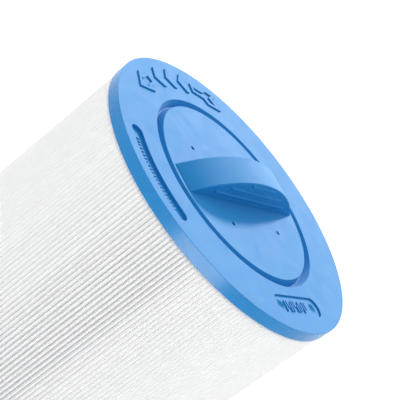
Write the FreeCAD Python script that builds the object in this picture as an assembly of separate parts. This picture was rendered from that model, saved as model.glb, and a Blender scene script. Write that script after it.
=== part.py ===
"""Spa filter cartridge with a moulded grip handle and a coarse-threaded nozzle.

FreeCAD 1.1 script, millimetres. The part's frame: origin at the centre of the
nozzle's lowest face, +Z up along the cartridge's axis (nozzle down, handle up),
+X along the handle's length, +Y across the handle.

Stack, from the floor up:
  threaded nozzle -> bottom end cap -> potting -> pleated media on a perforated
  core -> potting -> top end cap ring + handle disc.
"""
import FreeCAD
import Part

import math
import os

V = FreeCAD.Vector

# ---------------------------------------------------------------- dimensions
# overall
CAP_R = 76.2            # end cap radius, a 6 inch cartridge
BODY_LEN = 209.0        # outer face of bottom cap to outer face of top cap
NOZZLE_LEN = 27.0       # thread nozzle below the bottom cap's face
CAP_T = 6.0             # visible thickness of each end cap
CAP_EDGE_R = 0.15       # rounding at the caps' outer rims

# heights
Z_SEAT = NOZZLE_LEN                 # underside of the bottom cap
Z_MEDIA0 = Z_SEAT + CAP_T           # lower end of the pleats
Z_FACE = Z_SEAT + BODY_LEN          # flat top face
Z_MEDIA1 = Z_FACE - CAP_T           # upper end of the pleats
POT_T = 1.6                         # depth of the potting trough in each cap
POT_R0, POT_R1 = 35.0, 74.4         # potting trough, inner and outer radius

# pleated media
MEDIA_R0 = 35.3         # inner fold radius
MEDIA_R1 = 75.85        # outer fold radius
SEAM_T = 1.3            # glued seam, thickness
SEAM_GAP = 0.05         # free space each side of the seam
SEAM_ANGLE = 62.0       # where the seam lies round the axis, degrees

# core tube
CORE_R0, CORE_R1 = 33.0, 35.0
CORE_HOLE_R = 3.2       # perforation radius
CORE_HOLE_PITCH = 13.5  # axial pitch of the perforation rows
CORE_HOLES_AROUND = 12
SPIGOT_R0, SPIGOT_R1 = 30.9, 32.95  # spigots that centre the core
SPIGOT_LEN = 3.0

# handle disc and the V groove round it
DISC_R = 48.0           # flat top of the disc
SEAM_R = 50.0           # joint between disc and cap ring
RING_R = 52.0           # flat top of the ring starts here
GROOVE_D = 3.4          # depth of the V groove
LEDGE_W = 0.45          # flat ledge at its bottom, beside the joint
FIN_HALF = 45.7         # handle fin: half length
FIN_W = 15.0            # handle fin: width
FIN_H = 14.7            # handle fin: height over the face
FIN_ARC_R = 79.5        # radius of the fin's crown
FIN_EDGE_R = 0.45
RIB_OUT = 0.75          # grip ribs on the fin's sides: radius of their half-round section
RIB_ROWS = ((4.0, 30.1), (8.2, 22.4), (12.3, 9.6))   # height, half length
VENT_R, VENT_PCR = 1.15, 29.1           # four vent holes and their circle
VENT_ANGLES = (45.0, 135.0, 225.0, 315.0)

# marks on the ring
MARK_H = 0.75           # height of the raised marks
MARK_W = 1.7            # their stroke width
SLOT_R, SLOT_HW, SLOT_D = 67.4, 3.4, 1.45     # curved recess: mean radius, half width, depth
SLOT_SPAN = 18.5        # half angle to its end centres, degrees
PANEL_C = (-0.7, -61.75) # recessed label panel
PANEL_L, PANEL_H, PANEL_D = 40.6, 10.1, 0.8
DOT_R, DOT_D = 2.6, 1.0 # two round dimples in the panel: radius, depth
DOTS = ((-15.7, -61.5), (13.6, -61.9))
PANEL_BARS = ((2.6, 2.6), (2.6, 1.0), (1.4, 2.6), (2.6, 2.6), (2.6, 0.4), (0.6, 2.6), (2.6, 2.6), (1.6, 1.6),
              (2.6, 2.6), (2.6, 1.2))   # how far each bar reaches up and down
BAR_H = 0.62            # height of the panel's bars over its floor
SLOT_BARS, SLOT_BAR_H = 21, 0.5

# nozzle and its coarse thread
BORE_R = 18.5
THREAD_MINOR_R = 22.0
THREAD_MAJOR_R = 24.1
THREAD_PITCH = 5.08     # five turns to the inch
THREAD_Z0, THREAD_Z1 = 6.2, 22.4
PILOT_R = 21.4          # plain lead-in below the thread
PILOT_L = 3.4
PILOT_EDGE = 0.8
ANCHOR_R = 27.5         # ring that holds the nozzle in the bottom cap
ANCHOR_Z = 1.6          # its height over the seat face
RELIEF_R, RELIEF_D = 26.0, 0.8          # tapered relief in the seat round the nozzle

OUT = "parts"
os.makedirs(OUT, exist_ok=True)


# ------------------------------------------------------------------- helpers
def revolve(points, arcs=()):
    """Solid of revolution about Z from (r, z) points. arcs maps an edge index to a
    middle point, and that edge becomes an arc through it."""
    arcs = dict(arcs)
    edges = []
    n = len(points)
    for i in range(n):
        a = V(points[i][0], 0, points[i][1])
        b = V(points[(i + 1) % n][0], 0, points[(i + 1) % n][1])
        if (a - b).Length < 1e-9:
            continue
        if i in arcs:
            m = V(arcs[i][0], 0, arcs[i][1])
            edges.append(Part.Arc(a, m, b).toShape())
        else:
            edges.append(Part.LineSegment(a, b).toShape())
    face = Part.Face(Part.Wire(edges))
    return face.revolve(V(0, 0, 0), V(0, 0, 1), 360)


def ring(r0, r1, z0, z1):
    return revolve([(r0, z0), (r1, z0), (r1, z1), (r0, z1)])


def prism(points, z0, z1):
    wire = Part.makePolygon([V(x, y, z0) for x, y in points] + [V(points[0][0], points[0][1], z0)])
    return Part.Face(wire).extrude(V(0, 0, z1 - z0))


def place(points, at, angle):
    c, s = math.cos(math.radians(angle)), math.sin(math.radians(angle))
    return [(at[0] + x * c - y * s, at[1] + x * s + y * c) for x, y in points]


def frame_prism(points, width, z0, z1):
    """A closed outline stroke: the polygon less the same polygon moved in by width."""
    wire = Part.makePolygon([V(x, y, z0) for x, y in points] + [V(points[0][0], points[0][1], z0)])
    outer = Part.Face(wire)
    inner = outer.makeOffset2D(-width, 2)      # 2: sharp corners
    return outer.cut(inner).extrude(V(0, 0, z1 - z0))


def capsule(cx, cy, length, height, z0, z1):
    r = height / 2
    h = length / 2 - r
    e = [Part.LineSegment(V(cx - h, cy - r, z0), V(cx + h, cy - r, z0)).toShape(),
         Part.Arc(V(cx + h, cy - r, z0), V(cx + h + r, cy, z0), V(cx + h, cy + r, z0)).toShape(),
         Part.LineSegment(V(cx + h, cy + r, z0), V(cx - h, cy + r, z0)).toShape(),
         Part.Arc(V(cx - h, cy + r, z0), V(cx - h - r, cy, z0), V(cx - h, cy - r, z0)).toShape()]
    return Part.Face(Part.Wire(e)).extrude(V(0, 0, z1 - z0))


def polar(r, deg, z=0.0):
    a = math.radians(deg)
    return V(r * math.cos(a), r * math.sin(a), z)


def arc_slot(rm, hw, a0, a1, z0, z1):
    """Slot with round ends that follows a circle about Z, from angle a0 to a1."""
    mid = (a0 + a1) / 2
    ro, ri = rm + hw, rm - hw
    t0, t1 = math.radians(a0), math.radians(a1)
    c0, c1 = polar(rm, a0, z0), polar(rm, a1, z0)
    end0 = c0 + V(math.sin(t0), -math.cos(t0), 0) * hw      # before the start
    end1 = c1 + V(-math.sin(t1), math.cos(t1), 0) * hw      # past the end
    e = [Part.Arc(polar(ro, a0, z0), polar(ro, mid, z0), polar(ro, a1, z0)).toShape(),
         Part.Arc(polar(ro, a1, z0), end1, polar(ri, a1, z0)).toShape(),
         Part.Arc(polar(ri, a1, z0), polar(ri, mid, z0), polar(ri, a0, z0)).toShape(),
         Part.Arc(polar(ri, a0, z0), end0, polar(ro, a0, z0)).toShape()]
    return Part.Face(Part.Wire(e)).extrude(V(0, 0, z1 - z0))


def keep(name, shape):
    solids = shape.Solids
    if len(solids) == 1:
        shape = solids[0]
    ok = shape.isValid() and all(s.isClosed() for s in solids) and solids
    bb = shape.BoundBox
    print("%-16s solids %d valid %s vol %.1f cm3  box %.1f..%.1f  %.1f..%.1f  %.1f..%.1f  faces %d" % (
        name, len(solids), bool(ok), shape.Volume / 1000.0, bb.XMin, bb.XMax, bb.YMin, bb.YMax, bb.ZMin, bb.ZMax, len(shape.Faces)))
    if not ok:
        raise RuntimeError(name + " is not a valid closed solid")
    shape.exportStep(os.path.join(OUT, name + ".step"))
    return shape


# -------------------------------------------------------------- top cap ring
def rim_arc(z_flat, sign):
    """Middle point of the rim's rounding."""
    k = CAP_EDGE_R * (1 - math.sqrt(0.5))
    return (CAP_R - k, z_flat - sign * k)


def top_cap_ring():
    zf, zb = Z_FACE, Z_MEDIA1
    pts = [(CAP_R, zb), (CAP_R, zf - CAP_EDGE_R), (CAP_R - CAP_EDGE_R, zf), (RING_R, zf),
           (SEAM_R, zf - GROOVE_D), (SEAM_R, zb + POT_T), (POT_R1, zb + POT_T), (POT_R1, zb)]
    body = revolve(pts, {1: rim_arc(zf, 1)})
    # curved recess, with a row of fine raised bars on its floor
    body = body.cut(arc_slot(SLOT_R, SLOT_HW, 180 - SLOT_SPAN, 180 + SLOT_SPAN, zf - SLOT_D, zf + 1))
    # label panel, with two round dimples and ten plain bars on its floor
    cx, cy = PANEL_C
    body = body.cut(capsule(cx, cy, PANEL_L, PANEL_H, zf - PANEL_D, zf + 1))
    ball = (DOT_R ** 2 + DOT_D ** 2) / (2 * DOT_D)
    for x, y in DOTS:
        body = body.cut(Part.makeSphere(ball, V(x, y, zf - PANEL_D - DOT_D + ball)))
    add = []
    for k in range(10):
        x = -11.5 + 2.05 * k
        up, dn = PANEL_BARS[k]
        by = -62.0
        add.append(prism([(x - 0.42, by - dn), (x + 0.42, by - dn), (x + 0.42, by + up), (x - 0.42, by + up)],
                         zf - PANEL_D - 0.3, zf - PANEL_D + BAR_H))
    for k in range(SLOT_BARS):
        a = 180 - 15.6 + 31.2 * k / (SLOT_BARS - 1)
        r0 = SLOT_R - 1.0 + (0.5 if k % 5 == 2 else 0.0)
        r1 = SLOT_R + (1.9 if k % 4 in (0, 3) else 1.2)
        pts = []
        for r, s in ((r0, -1), (r1, -1), (r1, 1), (r0, 1)):
            c = polar(r, a)
            t = math.radians(a)
            pts.append((c.x - math.sin(t) * 0.29 * s, c.y + math.cos(t) * 0.29 * s))
        add.append(prism(pts, zf - SLOT_D - 0.3, zf - SLOT_D + SLOT_BAR_H))
    # arrow head, three chevrons and arrow tail: which way to turn to release
    head = place([(0, 0), (9.3, 6.3), (9.3, 3.45), (15.4, 3.45), (15.4, -3.45), (9.3, -3.45), (9.3, -6.3)][::-1],
                 (-39.6, 51.7), 29.1)
    add.append(frame_prism(head, MARK_W, zf - 0.3, zf + MARK_H))
    tail = [(12.57, 65.9), (11.54, 60.5), (19.85, 58.3), (21.43, 54.97), (31.4, 52.88), (28.02, 59.54),
            (34.0, 62.3), (25.24, 65.4), (20.8, 63.7)]
    add.append(frame_prism(tail, MARK_W, zf - 0.3, zf + MARK_H))
    for a in (106.0, 96.0, 86.0):
        c = polar(64.6, a)
        w = MARK_W / math.sin(math.radians(56))
        chev = [(-3.2, 0), (1.0, -5.6), (1.0 + w, -5.6), (-3.2 + w, 0), (1.0 + w, 5.6), (1.0, 5.6)]
        add.append(prism(place(chev, (c.x, c.y), a - 90), zf - 0.3, zf + MARK_H))
    return body.fuse(add).removeSplitter()


# --------------------------------------------------------------- handle disc
def handle_disc():
    zf = Z_FACE
    zu = Z_MEDIA1 + POT_T
    pts = [(0, zu), (SPIGOT_R0, zu), (SPIGOT_R0, zu - SPIGOT_LEN), (SPIGOT_R1, zu - SPIGOT_LEN), (SPIGOT_R1, zu),
           (SEAM_R, zu), (SEAM_R, zf - GROOVE_D), (SEAM_R - LEDGE_W, zf - GROOVE_D), (DISC_R, zf), (0, zf)]
    body = revolve(pts)
    # fin: a crowned bar across the disc
    z0 = zf - 0.5
    sag = FIN_ARC_R - math.sqrt(FIN_ARC_R ** 2 - FIN_HALF ** 2)
    ze = zf + FIN_H - sag
    e = [Part.LineSegment(V(-FIN_HALF, -FIN_W / 2, z0), V(FIN_HALF, -FIN_W / 2, z0)).toShape(),
         Part.LineSegment(V(FIN_HALF, -FIN_W / 2, z0), V(FIN_HALF, -FIN_W / 2, ze)).toShape(),
         Part.Arc(V(FIN_HALF, -FIN_W / 2, ze), V(0, -FIN_W / 2, zf + FIN_H), V(-FIN_HALF, -FIN_W / 2, ze)).toShape(),
         Part.LineSegment(V(-FIN_HALF, -FIN_W / 2, ze), V(-FIN_HALF, -FIN_W / 2, z0)).toShape()]
    fin = Part.Face(Part.Wire(e)).extrude(V(0, FIN_W, 0))
    crown = [ed for ed in fin.Edges if ed.BoundBox.ZMax > zf + FIN_H - 0.2 and ed.Length > 40]
    fin = fin.makeFillet(FIN_EDGE_R, crown)
    # grip ribs: half-round bars along both sides
    ribs = []
    for h, half in RIB_ROWS:
        for s in (-1, 1):
            y = s * (FIN_W / 2)
            rod = Part.makeCylinder(RIB_OUT, 2 * half, V(-half, y, zf + h), V(1, 0, 0))
            ends = [Part.makeSphere(RIB_OUT, V(x, y, zf + h)) for x in (-half, half)]
            ribs.append(rod.fuse(ends))
    body = body.fuse([fin] + ribs)
    for a in VENT_ANGLES:
        body = body.cut(Part.makeCylinder(VENT_R, 20, polar(VENT_PCR, a, zu - 5)))
    return body.removeSplitter()


# ---------------------------------------------------------------- bottom cap
def bottom_cap():
    z0, z1 = Z_SEAT, Z_MEDIA0
    za, zi = Z_SEAT + ANCHOR_Z, Z_MEDIA0 - POT_T
    pts = [(THREAD_MINOR_R, z0 + RELIEF_D), (RELIEF_R, z0), (CAP_R - CAP_EDGE_R, z0), (CAP_R, z0 + CAP_EDGE_R), (CAP_R, z1),
           (POT_R1, z1), (POT_R1, zi), (SPIGOT_R1, zi), (SPIGOT_R1, zi + SPIGOT_LEN),
           (SPIGOT_R0, zi + SPIGOT_LEN), (SPIGOT_R0, zi), (ANCHOR_R, zi), (ANCHOR_R, za), (THREAD_MINOR_R, za)]
    k = CAP_EDGE_R * (1 - math.sqrt(0.5))
    body = revolve(pts, {2: (CAP_R - k, z0 + k)})
    # a shallow mould ring on the outer face, outside the seat
    groove = ring(66.0, 67.4, z0 - 1, z0 + 0.6)
    return body.cut(groove)


# ------------------------------------------------------------ threaded nozzle
def threaded_nozzle():
    za, z_in = Z_SEAT + ANCHOR_Z, Z_MEDIA0 - POT_T
    pts = [(BORE_R, 0), (PILOT_R - PILOT_EDGE, 0), (PILOT_R, PILOT_EDGE), (PILOT_R, PILOT_L),
           (THREAD_MINOR_R, PILOT_L + 0.6), (THREAD_MINOR_R, za), (ANCHOR_R, za), (ANCHOR_R, z_in), (BORE_R, z_in)]
    body = revolve(pts)
    # coarse right-hand thread: one ridge swept along a helix
    turns_h = THREAD_Z1 - THREAD_Z0
    root = THREAD_MINOR_R - 0.25
    helix = Part.makeHelix(THREAD_PITCH, turns_h, root)
    helix.translate(V(0, 0, THREAD_Z0))
    hb, ht = 1.75, 0.7                      # half widths of the ridge at root and crest
    prof = Part.makePolygon([V(root, 0, THREAD_Z0 - hb), V(THREAD_MAJOR_R, 0, THREAD_Z0 - ht),
                             V(THREAD_MAJOR_R, 0, THREAD_Z0 + ht), V(root, 0, THREAD_Z0 + hb),
                             V(root, 0, THREAD_Z0 - hb)])
    ridge = Part.Wire(helix.Edges).makePipeShell([Part.Wire(prof)], True, True)
    if ridge.Volume < 0:
        ridge = ridge.reversed()
    return body.fuse(ridge)


# ------------------------------------------------------------------ the core
def core_tube():
    z0, z1 = Z_MEDIA0 - POT_T, Z_MEDIA1 + POT_T
    body = ring(CORE_R0, CORE_R1, z0, z1)
    rows = int((z1 - z0 - 30) / CORE_HOLE_PITCH) + 1
    zs = (z0 + z1) / 2 - (rows - 1) * CORE_HOLE_PITCH / 2
    cuts = []
    for i in range(rows):
        for k in range(CORE_HOLES_AROUND):
            a = 360.0 * k / CORE_HOLES_AROUND + (180.0 / CORE_HOLES_AROUND if i % 2 else 0)
            d = polar(1, a)
            cuts.append(Part.makeCylinder(CORE_HOLE_R, 6, polar(CORE_R0 - 2, a, zs + i * CORE_HOLE_PITCH), d))
    return body.cut(cuts)


# --------------------------------------------------------------- pleat pack
def seam_box(extra, r0, r1):
    t = SEAM_T + 2 * extra
    b = Part.makeBox(r1 - r0, t, Z_MEDIA1 - Z_MEDIA0, V(r0, -t / 2, Z_MEDIA0))
    b.rotate(V(0, 0, 0), V(0, 0, 1), SEAM_ANGLE)
    return b


def pleated_media():
    return ring(MEDIA_R0, MEDIA_R1, Z_MEDIA0, Z_MEDIA1).cut(seam_box(SEAM_GAP, MEDIA_R0 - 2, MEDIA_R1 + 2))


def seam_strip():
    return seam_box(0, MEDIA_R0 + 0.2, MEDIA_R1 - 0.05)


def main():
    shapes = {
        "top_cap_ring": top_cap_ring(),
        "handle_disc": handle_disc(),
        "top_potting": ring(POT_R0, POT_R1, Z_MEDIA1, Z_MEDIA1 + POT_T),
        "pleated_media": pleated_media(),
        "seam_strip": seam_strip(),
        "core_tube": core_tube(),
        "bottom_potting": ring(POT_R0, POT_R1, Z_MEDIA0 - POT_T, Z_MEDIA0),
        "bottom_cap": bottom_cap(),
        "threaded_nozzle": threaded_nozzle(),
    }
    for name, shape in shapes.items():
        keep(name, shape)
    return shapes


main()
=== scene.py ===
import math
import random

import bpy
from mathutils import Matrix, Vector


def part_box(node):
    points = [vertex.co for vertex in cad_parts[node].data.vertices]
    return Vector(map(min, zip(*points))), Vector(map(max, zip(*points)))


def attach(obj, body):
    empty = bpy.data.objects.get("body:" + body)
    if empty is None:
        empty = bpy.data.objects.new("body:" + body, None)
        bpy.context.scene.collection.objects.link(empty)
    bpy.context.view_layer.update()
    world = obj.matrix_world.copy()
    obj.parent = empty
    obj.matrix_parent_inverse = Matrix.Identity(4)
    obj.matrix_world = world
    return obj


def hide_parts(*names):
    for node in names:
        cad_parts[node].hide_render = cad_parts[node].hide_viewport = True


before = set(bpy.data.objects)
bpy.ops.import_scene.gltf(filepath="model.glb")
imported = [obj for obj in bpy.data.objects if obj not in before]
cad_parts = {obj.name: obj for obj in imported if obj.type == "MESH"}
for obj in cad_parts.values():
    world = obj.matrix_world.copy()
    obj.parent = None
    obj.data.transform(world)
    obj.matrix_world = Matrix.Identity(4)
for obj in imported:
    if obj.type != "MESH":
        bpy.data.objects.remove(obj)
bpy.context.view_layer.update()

SC = bpy.context.scene
random.seed(11)

# ------------------------------------------------------------ where things are
cap_lo, cap_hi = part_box("top_cap_ring")
disc_lo, disc_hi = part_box("handle_disc")
media_lo, media_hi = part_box("pleated_media")
seam_lo, seam_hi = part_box("seam_strip")
Z_FACE = cap_lo.z + 0.006           # flat top face
MEDIA_R = media_hi.x                # radius of the pleats' tips
Z0, Z1 = media_lo.z, media_hi.z

# ---------------------------------------------------------------- camera
cam_data = bpy.data.cameras.new("camera")
cam = bpy.data.objects.new("camera", cam_data)
SC.collection.objects.link(cam)
right = Vector((0.520849, -0.434010, 0.735086))
up = Vector((-0.121735, 0.814547, 0.567181))
back = right.cross(up)
m = Matrix((right, up, back)).transposed().to_4x4()
m.translation = Vector((-0.4976, -0.2191, Z_FACE + 0.20086))
cam.matrix_world = m
cam_data.sensor_fit = "HORIZONTAL"
cam_data.sensor_width = 36.0
cam_data.lens = 114.35
cam_data.clip_start = 0.01
cam_data.clip_end = 50.0
SC.camera = cam
SC.view_settings.view_transform = "Standard"
SC.view_settings.look = "None"


# ---------------------------------------------------------------- node helpers
class Tree:
    """A short way to build a node tree."""

    def __init__(self, tree):
        self.t = tree
        tree.nodes.clear()

    def add(self, kind, **kw):
        n = self.t.nodes.new(kind)
        for k, v in kw.items():
            if k.startswith("i_"):
                n.inputs[k[2:].replace("__", " ")].default_value = v
            else:
                setattr(n, k, v)
        return n

    def link(self, a, b):
        self.t.links.new(a, b)
        return b

    def math(self, op, a, b=None, clamp=False):
        n = self.t.nodes.new("ShaderNodeMath")
        n.operation = op
        n.use_clamp = clamp
        for i, x in enumerate((a, b)):
            if x is None:
                continue
            if isinstance(x, (int, float)):
                n.inputs[i].default_value = x
            else:
                self.link(x, n.inputs[i])
        return n.outputs[0]

    def ramp(self, fac, stops):
        n = self.t.nodes.new("ShaderNodeValToRGB")
        els = n.color_ramp.elements
        while len(els) < len(stops):
            els.new(0.5)
        for e, (p, c) in zip(els, stops):
            e.position = p
            e.color = (c, c, c, 1) if isinstance(c, (int, float)) else (*c, 1)
        self.link(fac, n.inputs[0])
        return n.outputs[0]

    def noise(self, vec, scale, detail=3.0, rough=0.5, distortion=0.0):
        n = self.add("ShaderNodeTexNoise", i_Scale=scale, i_Detail=detail, i_Roughness=rough, i_Distortion=distortion)
        self.link(vec, n.inputs["Vector"])
        return n.outputs["Fac"]

    def mix(self, fac, a, b, mode="MIX"):
        n = self.t.nodes.new("ShaderNodeMix")
        n.data_type = "RGBA"
        n.blend_type = mode
        n.clamp_result = True
        for s, x in ((n.inputs[0], fac), (n.inputs[6], a), (n.inputs[7], b)):
            if isinstance(x, (int, float)):
                s.default_value = x
            elif isinstance(x, tuple):
                s.default_value = (*x, 1)
            else:
                self.link(x, s)
        return n.outputs[2]


def new_mat(name):
    mat = bpy.data.materials.new(name)
    mat.use_nodes = True
    return mat, Tree(mat.node_tree)


def plastic(name, base, dark, light, rough=0.42, grain=1.0, seed=0.0, edge=0.00015, specular=0.5, mottling=1.0, wall_rough=None):
    """Moulded plastic: slow colour drift from the melt, a fine spark-eroded texture, faint handling
    marks that change the gloss, and edges softened by a small radius."""
    mat, t = new_mat(name)
    out = t.add("ShaderNodeOutputMaterial")
    bsdf = t.add("ShaderNodeBsdfPrincipled")
    bsdf.inputs["IOR"].default_value = 1.49
    bsdf.inputs["Specular IOR Level"].default_value = specular
    geo = t.add("ShaderNodeTexCoord")
    mapping = t.add("ShaderNodeMapping")
    mapping.inputs["Location"].default_value = (seed, seed * 1.7, seed * 0.6)
    t.link(geo.outputs["Object"], mapping.inputs["Vector"])
    p = mapping.outputs["Vector"]
    # colour: slow flow drift, and a finer speckle of pigment
    drift = t.noise(p, 22.0, 3.0, 0.55, 0.6)
    speck = t.noise(p, 900.0, 2.0, 0.6)
    c1 = t.mix(t.ramp(drift, ((0.30, 0.0), (0.72, 1.0))), dark, light)
    c2 = t.mix(t.ramp(speck, ((0.35, 0.10 * mottling), (0.65, 0.0))), c1, tuple(x * 0.80 for x in base))
    c3 = t.mix(0.55, c2, base)
    t.link(c3, bsdf.inputs["Base Color"])
    # roughness: handling marks and the texture's own grain
    smear = t.noise(p, 60.0, 4.0, 0.6, 1.2)
    fine = t.noise(p, 2600.0, 2.0, 0.5)
    r = t.math("ADD", t.math("MULTIPLY", smear, 0.14), t.math("MULTIPLY", fine, 0.06))
    r = t.math("ADD", r, rough - 0.10, clamp=True)
    if wall_rough is not None:
        # the cylindrical wall left a polished part of the mould, the flat faces a textured one
        side = t.add("ShaderNodeSeparateXYZ")
        t.link(geo.outputs["Normal"], side.inputs[0])
        flat = t.ramp(t.math("ABSOLUTE", side.outputs["Z"]), ((0.10, 0.0), (0.45, 1.0)))
        r = t.math("SUBTRACT", r, t.math("MULTIPLY", t.math("SUBTRACT", 1.0, flat), rough - wall_rough), clamp=True)
    t.link(r, bsdf.inputs["Roughness"])
    # bump: spark-eroded grain, with the soft waviness of a moulded face
    bevel = t.add("ShaderNodeBevel", samples=4, i_Radius=edge)
    b1 = t.add("ShaderNodeBump", i_Strength=0.10 * grain, i_Distance=0.00006)
    t.link(t.noise(p, 1500.0, 4.0, 0.6), b1.inputs["Height"])
    t.link(bevel.outputs[0], b1.inputs["Normal"])
    b2 = t.add("ShaderNodeBump", i_Strength=0.12 * grain, i_Distance=0.0004)
    t.link(t.noise(p, 55.0, 2.0, 0.5), b2.inputs["Height"])
    t.link(b1.outputs[0], b2.inputs["Normal"])
    t.link(b2.outputs[0], bsdf.inputs["Normal"])
    t.link(bsdf.outputs[0], out.inputs["Surface"])
    return mat


def media_material(name):
    """Spun-bonded polyester sheet: random fibres, a grid of fine bond points, soft and slightly see-through."""
    mat, t = new_mat(name)
    out = t.add("ShaderNodeOutputMaterial")
    bsdf = t.add("ShaderNodeBsdfPrincipled")
    bsdf.inputs["IOR"].default_value = 1.45
    bsdf.inputs["Specular IOR Level"].default_value = 0.25
    bsdf.inputs["Sheen Weight"].default_value = 0.12
    bsdf.inputs["Sheen Roughness"].default_value = 0.5
    # a faint, even glow over the whole sheet: painted light that lifts the shaded pleats and their valleys
    bsdf.inputs["Emission Color"].default_value = (0.97, 0.98, 1.0, 1)
    bsdf.inputs["Emission Strength"].default_value = 0.07
    uv = t.add("ShaderNodeUVMap", uv_map="sheet")
    p = uv.outputs[0]
    obj = t.add("ShaderNodeTexCoord").outputs["Object"]
    # fibres: two stretched noises that cross
    m1 = t.add("ShaderNodeMapping")
    m1.inputs["Scale"].default_value = (1.0, 0.14, 1.0)
    m1.inputs["Rotation"].default_value = (0, 0, 0.5)
    t.link(p, m1.inputs["Vector"])
    m2 = t.add("ShaderNodeMapping")
    m2.inputs["Scale"].default_value = (0.14, 1.0, 1.0)
    m2.inputs["Rotation"].default_value = (0, 0, 0.35)
    t.link(p, m2.inputs["Vector"])
    f1 = t.noise(m1.outputs[0], 6500.0, 3.0, 0.6, 0.4)
    f2 = t.noise(m2.outputs[0], 6500.0, 3.0, 0.6, 0.4)
    fib = t.math("MAXIMUM", f1, f2)
    # bond points
    vor = t.add("ShaderNodeTexVoronoi", feature="F1", i_Scale=1150.0, i_Randomness=0.12)
    t.link(p, vor.inputs["Vector"])
    dots = t.ramp(vor.outputs["Distance"], ((0.16, 1.0), (0.30, 0.0)))
    cloud = t.noise(obj, 45.0, 3.0, 0.5)
    c = t.mix(t.ramp(fib, ((0.45, 0.0), (0.72, 1.0))), (0.915, 0.92, 0.925), (0.965, 0.965, 0.96))
    c = t.mix(t.math("MULTIPLY", dots, 0.15), c, (0.86, 0.87, 0.875))
    c = t.mix(t.math("MULTIPLY", t.ramp(cloud, ((0.35, 1.0), (0.65, 0.0))), 0.20), c, (0.91, 0.915, 0.91))
    t.link(c, bsdf.inputs["Base Color"])
    r = t.math("ADD", t.math("MULTIPLY", dots, -0.18), t.math("ADD", t.math("MULTIPLY", fib, 0.15), 0.78), clamp=True)
    t.link(r, bsdf.inputs["Roughness"])
    h = t.math("ADD", t.math("MULTIPLY", fib, 0.6), t.math("MULTIPLY", dots, -0.4))
    b = t.add("ShaderNodeBump", i_Strength=0.20, i_Distance=0.00010)
    t.link(h, b.inputs["Height"])
    t.link(b.outputs[0], bsdf.inputs["Normal"])
    tr = t.add("ShaderNodeBsdfTranslucent")
    t.link(c, tr.inputs["Color"])
    t.link(b.outputs[0], tr.inputs["Normal"])
    mx = t.add("ShaderNodeMixShader", i_Fac=0.14)
    t.link(bsdf.outputs[0], mx.inputs[1])
    t.link(tr.outputs[0], mx.inputs[2])
    t.link(mx.outputs[0], out.inputs["Surface"])
    return mat


BLUE = (0.015, 0.232, 0.578)
BLUE_D = (0.012, 0.221, 0.557)
BLUE_L = (0.019, 0.245, 0.600)
CAP_FINISH = dict(rough=0.84, specular=0.24, wall_rough=0.27)
mats = {
    "top_cap_ring": plastic("cap_blue_moulded", BLUE, BLUE_D, BLUE_L, seed=0.0, **CAP_FINISH),
    "handle_disc": plastic("handle_blue_moulded", BLUE, BLUE_D, BLUE_L, seed=0.31, **CAP_FINISH),
    "bottom_cap": plastic("bottom_blue_moulded", BLUE, BLUE_D, BLUE_L, seed=0.72, **CAP_FINISH),
    "threaded_nozzle": plastic("nozzle_blue_moulded", (0.015, 0.245, 0.610), (0.011, 0.225, 0.575), (0.020, 0.265, 0.64), 0.36, 0.7, 1.3),
    "top_potting": plastic("potting_cast", (0.06, 0.30, 0.62), (0.05, 0.27, 0.58), (0.08, 0.34, 0.68), 0.30, 0.6, 0.5),
    "bottom_potting": plastic("potting_cast_low", (0.06, 0.30, 0.62), (0.05, 0.27, 0.58), (0.08, 0.34, 0.68), 0.30, 0.6, 0.9),
    "core_tube": plastic("core_white_pp", (0.80, 0.805, 0.80), (0.76, 0.765, 0.76), (0.84, 0.845, 0.84), 0.40, 0.9, 2.1),
    "seam_strip": plastic("seam_hot_melt", (0.78, 0.74, 0.62), (0.72, 0.68, 0.55), (0.84, 0.81, 0.70), 0.35, 1.2, 0.2),
}
for node, mat in mats.items():
    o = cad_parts[node]
    o.data.materials.clear()
    o.data.materials.append(mat)


# ------------------------------------------------------------ the pleat pack
N = 229                       # whole pleats, with the seam in the last one's place
T = 0.00034                   # sheet thickness
R1 = MEDIA_R - 0.00004        # outermost fibre of the folds
R0 = 0.03542                  # innermost
LEVELS = (0.0, 0.012, 0.036, 0.12, 0.31, 0.50, 0.69, 0.88, 0.964, 0.988, 1.0)
SEG = len(LEVELS) - 1
seam_a = math.atan2((seam_lo.y + seam_hi.y) / 2, (seam_lo.x + seam_hi.x) / 2)
SEAM_HALF = 0.00072           # half of the seam's thickness and its gap


def smooth_random(n, knots, amp, rng):
    """n x knots table of values, smooth from one row to the next."""
    rows = [[rng.uniform(-amp, amp) for _ in range(knots)] for _ in range(n)]
    out = []
    for i in range(n):
        out.append([0.25 * rows[i - 1][k] + 0.5 * rows[i][k] + 0.25 * rows[(i + 1) % n][k] for k in range(knots)])
    return out


def pick(row, f):
    """Value along a row of knots at f in 0..1, cubic-smooth."""
    x = f * (len(row) - 1)
    i = min(int(x), len(row) - 2)
    u = x - i
    u = u * u * (3 - 2 * u)
    return row[i] * (1 - u) + row[i + 1] * u


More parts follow.
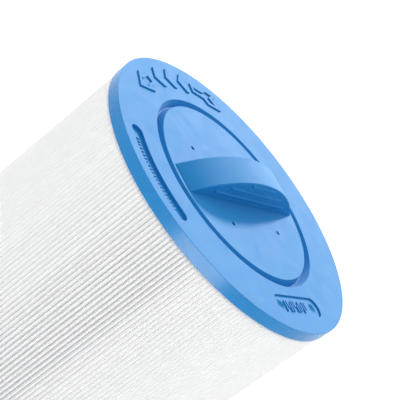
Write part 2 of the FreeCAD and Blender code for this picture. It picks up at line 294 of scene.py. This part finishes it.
def make_pleats():
    rng = random.Random(7)
    sway = smooth_random(N, 5, 0.00010, rng)      # sideways lean of each tip along its height
    dip = [abs(rng.gauss(0, 0.00006)) for _ in range(N)]   # how far each tip stays inside
    fat = [rng.uniform(-0.00003, 0.00003) for _ in range(N)]
    bulge = smooth_random(N, 4, 0.00003, rng)
    shut = [rng.uniform(0.0014, 0.0023) for _ in range(N)]  # depth where neighbours meet

    def angle(r, s):
        a = (SEAM_HALF + T) / r
        return seam_a + a + (2 * math.pi - 2 * a) * s / N

    def ease(x):
        x = min(1.0, max(0.0, x))
        return x * x * (3 - 2 * x)

    # chosen to match the picture: the photograph's grey band, probably an effect of its
    # lighting, is reproduced by letting some pleats stand open and others lie closer
    for k in range(N):
        az = math.degrees(angle(R1, k + 0.5)) % 360
        shut[k] *= 0.75 + 0.55 * ease((az - 186) / 18) - 0.75 * ease((az - 209) / 11) + 0.20 * ease((az - 290) / 30)

    def pitch(r):
        return (2 * math.pi * r - 2 * (SEAM_HALF + T)) / N

    def flank(r, wo, deep, bl):
        """Half the pleat's width at radius r: it swells from its fold until it meets its
        neighbour at the depth given."""
        full = pitch(r) / 2 - 0.00003
        f = min(1.0, max(0.0, (R1 - r - wo * 0.6) / deep))
        return min(full, wo + (full - wo) * (1 - (1 - f) ** 0.62) + bl * (1 - f))

    def lines(zf):
        """Outer and inner line of the sheet's section, from one seam face to the other:
        lists of (x, y) and the unrolled length at each point."""
        outer, inner, length = [], [], []
        run = 0.0

        def put(ro, so, to, ri, si, ti):
            """Point at radius r, pleat position s, plus a sideways distance t."""
            ao = angle(ro, so) + to / ro
            ai = angle(ri, si) + ti / ri
            outer.append((ro * math.cos(ao), ro * math.sin(ao)))
            inner.append((ri * math.cos(ai), ri * math.sin(ai)))

        ends = 1.0 - abs(2 * zf - 1) ** 6 * 0.6     # the potting holds the ends straight
        # adhesive that rose between the folds keeps the valleys shallow beside the caps
        rise = 1.0 - 0.55 * math.exp(-(Z1 - Z0) * min(zf, 1 - zf) / 0.0045)
        depths = (0.0007, 0.0013, 0.0019, 0.0028, 0.0250)
        # first sheet: it lies along the seam from the outer edge inwards
        for r in (R1 - 0.0004, *(R1 - d for d in depths)):
            put(r, 0, 0.00006, r, 0, 0.00006 + T)
        for k in range(N):
            sw = pick(sway[k], zf) * ends
            bl = pick(bulge[k], zf) * ends
            tip = R1 - dip[k] * (0.4 + 0.6 * ends)
            wo = 0.00034 + fat[k]                   # half width of the fold, outside
            s = k + 0.5
            # inner fold before the pleat
            ph = pitch(R0) / 2
            put(R0 + 0.00045, s, -ph + 0.00006, R0 + 0.0001, s, -ph)
            put(R0 + 0.00045, s, -ph + 0.00010, R0 + 0.0002, s, -ph + T * 0.9)
            for r in (R1 - d for d in depths[::-1]):
                half = flank(r, wo, shut[k] * rise, bl)
                lean = sw * max(0.0, 1 - (R1 - r) / 0.02)
                put(r, s, lean - half, r, s, lean - half + T)
            for q in (-90, -50, 0, 50, 90):
                c, sn = math.cos(math.radians(q)), math.sin(math.radians(q))
                rr = tip - wo + wo * c
                ri = tip - wo + (wo - T) * c
                put(rr, s, sw + wo * sn, ri, s, sw + (wo - T) * sn)
            for r in (R1 - d for d in depths):
                half = flank(r, wo, shut[k] * rise, bl)
                lean = sw * max(0.0, 1 - (R1 - r) / 0.02)
                put(r, s, lean + half, r, s, lean + half - T)
            put(R0 + 0.00045, s, ph - 0.00010, R0 + 0.0002, s, ph - T * 0.9)
        put(R0 + 0.00045, N, -0.00006, R0 + 0.0001, N, 0)
        for r in (*(R1 - d for d in depths[::-1]), R1 - 0.0004):
            put(r, N, -0.00006, r, N, -0.00006 - T)
        length.append(0.0)
        for a, b in zip(outer, outer[1:]):
            run += math.hypot(b[0] - a[0], b[1] - a[1])
            length.append(run)
        return outer, inner, length

    verts, uvs = [], []
    levels = []
    n = 0
    for i in range(SEG + 1):
        zf = LEVELS[i]
        z = Z0 + (Z1 - Z0) * zf
        outer, inner, length = lines(zf)
        n = len(outer)
        base = len(verts)
        verts.extend((x, y, z) for x, y in outer)
        verts.extend((x, y, z) for x, y in inner)
        if i == 0:
            flat = length
        levels.append(base)
    faces, fuv, cap = [], [], []

    def quad(a, b, c, d, ua, ub, uc, ud, flat_face=False):
        faces.append((a, b, c, d))
        fuv.append((ua, ub, uc, ud))
        cap.append(flat_face)

    for i in range(SEG):
        l0, l1 = levels[i], levels[i + 1]
        v0, v1 = (Z1 - Z0) * LEVELS[i], (Z1 - Z0) * LEVELS[i + 1]
        for j in range(n - 1):
            u0, u1 = flat[j], flat[j + 1]
            quad(l0 + j, l0 + j + 1, l1 + j + 1, l1 + j, (u0, v0), (u1, v0), (u1, v1), (u0, v1))
            a, b, c, d = l0 + n + j, l0 + n + j + 1, l1 + n + j + 1, l1 + n + j
            quad(b, a, d, c, (u1, v0), (u0, v0), (u0, v1), (u1, v1))
        for j, flip in ((0, True), (n - 1, False)):
            a, b, c, d = l0 + j, l0 + n + j, l1 + n + j, l1 + j
            q = (a, b, c, d) if not flip else (b, a, d, c)
            quad(*q, (flat[j], v0), (flat[j] + T, v0), (flat[j] + T, v1), (flat[j], v1), True)
    for l, flip in ((levels[0], True), (levels[-1], False)):
        for j in range(n - 1):
            a, b, c, d = l + j, l + j + 1, l + n + j + 1, l + n + j
            q = (a, b, c, d) if not flip else (d, c, b, a)
            quad(*q, (flat[j], 0), (flat[j + 1], 0), (flat[j + 1], T), (flat[j], T), True)
    me = bpy.data.meshes.new("pleats")
    me.from_pydata(verts, [], faces)
    layer = me.uv_layers.new(name="sheet")
    co = [c for q in fuv for uv in q for c in uv]
    layer.data.foreach_set("uv", co)
    me.polygons.foreach_set("use_smooth", [not c for c in cap])
    me.validate()
    me.update()
    o = bpy.data.objects.new("pleated_sheet", me)
    SC.collection.objects.link(o)
    return o


pleats = make_pleats()
pleats.data.materials.append(media_material("spun_bonded_media"))
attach(pleats, "root")
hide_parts("pleated_media")

# ---------------------------------------------------------------- floor, lights
bpy.ops.mesh.primitive_plane_add(size=30.0, location=(0, 0, 0))
floor = bpy.context.object
floor.name = "floor"
fmat, t = new_mat("pale_floor")
out = t.add("ShaderNodeOutputMaterial")
bs = t.add("ShaderNodeBsdfPrincipled")
bs.inputs["Base Color"].default_value = (0.94, 0.94, 0.94, 1)
bs.inputs["Roughness"].default_value = 0.9
bs.inputs["Specular IOR Level"].default_value = 0.1
t.link(bs.outputs[0], out.inputs["Surface"])
floor.data.materials.append(fmat)

world = bpy.data.worlds.new("studio")
SC.world = world
world.use_nodes = True
t = Tree(world.node_tree)
out = t.add("ShaderNodeOutputWorld")
bg = t.add("ShaderNodeBackground")
bg.inputs["Color"].default_value = (1.0, 1.0, 1.0, 1)
# an even tent of light, with one broad brighter side behind the handle
g = t.add("ShaderNodeTexCoord").outputs["Generated"]
ga, ge = math.radians(25.0), math.radians(20.0)
dot = t.add("ShaderNodeVectorMath", operation="DOT_PRODUCT")
dot.inputs[1].default_value = (math.cos(ga) * math.cos(ge), math.sin(ga) * math.cos(ge), math.sin(ge))
t.link(g, dot.inputs[0])
lobe = t.add("ShaderNodeMapRange", interpolation_type="SMOOTHSTEP")
for k, v in (("From Min", math.cos(math.radians(50))), ("From Max", math.cos(math.radians(16))), ("To Min", 0.0), ("To Max", 0.80)):
    lobe.inputs[k].default_value = v
t.link(dot.outputs["Value"], lobe.inputs["Value"])
sep = t.add("ShaderNodeSeparateXYZ")
t.link(g, sep.inputs[0])
tent = t.math("ADD", 0.65, t.math("MULTIPLY", t.math("MAXIMUM", sep.outputs["Z"], 0.0), 0.30))
t.link(t.math("ADD", tent, lobe.outputs[0]), bg.inputs["Strength"])
t.link(bg.outputs[0], out.inputs["Surface"])


def aim(o, direction):
    """Turn a light so that it shines against the direction."""
    o.rotation_euler = Vector(direction).to_track_quat("Z", "Y").to_euler()


def sun(name, azimuth, elevation, strength, angle):
    data = bpy.data.lights.new(name, "SUN")
    data.energy = strength
    data.angle = math.radians(angle)
    o = bpy.data.objects.new(name, data)
    SC.collection.objects.link(o)
    a, e = math.radians(azimuth), math.radians(elevation)
    aim(o, (math.cos(a) * math.cos(e), math.sin(a) * math.cos(e), math.sin(e)))
    return o


sun("key", 31.0, 28.5, 1.9, 8.0)
# its bare bulb beside the diffuser: only adds to the broad shine of the textured faces
sun("key_shine", 31.0, 28.5, 6.9, 8.0).visible_diffuse = False

def soft_box(name, at, towards, size, power):
    data = bpy.data.lights.new(name, "AREA")
    data.shape = "RECTANGLE"
    data.size, data.size_y = size
    data.energy = power
    o = bpy.data.objects.new(name, data)
    SC.collection.objects.link(o)
    o.location = at
    aim(o, Vector(at) - Vector(towards))
    o.visible_camera = False
    return o


# two low soft boxes on the near side: one shows only as a soft sheen on the cap's wall,
# the other only fills the pleats and the wall with diffuse light
near_wall = (-0.064, -0.0415, Z_FACE - 0.003)
soft_box("sheen_box", (-0.330, -0.305, 0.079), near_wall, (0.33, 0.15), 1.75).visible_diffuse = False
soft_box("fill_box", (-0.50, -0.33, 0.11), near_wall, (0.50, 0.18), 0.30).visible_glossy = False
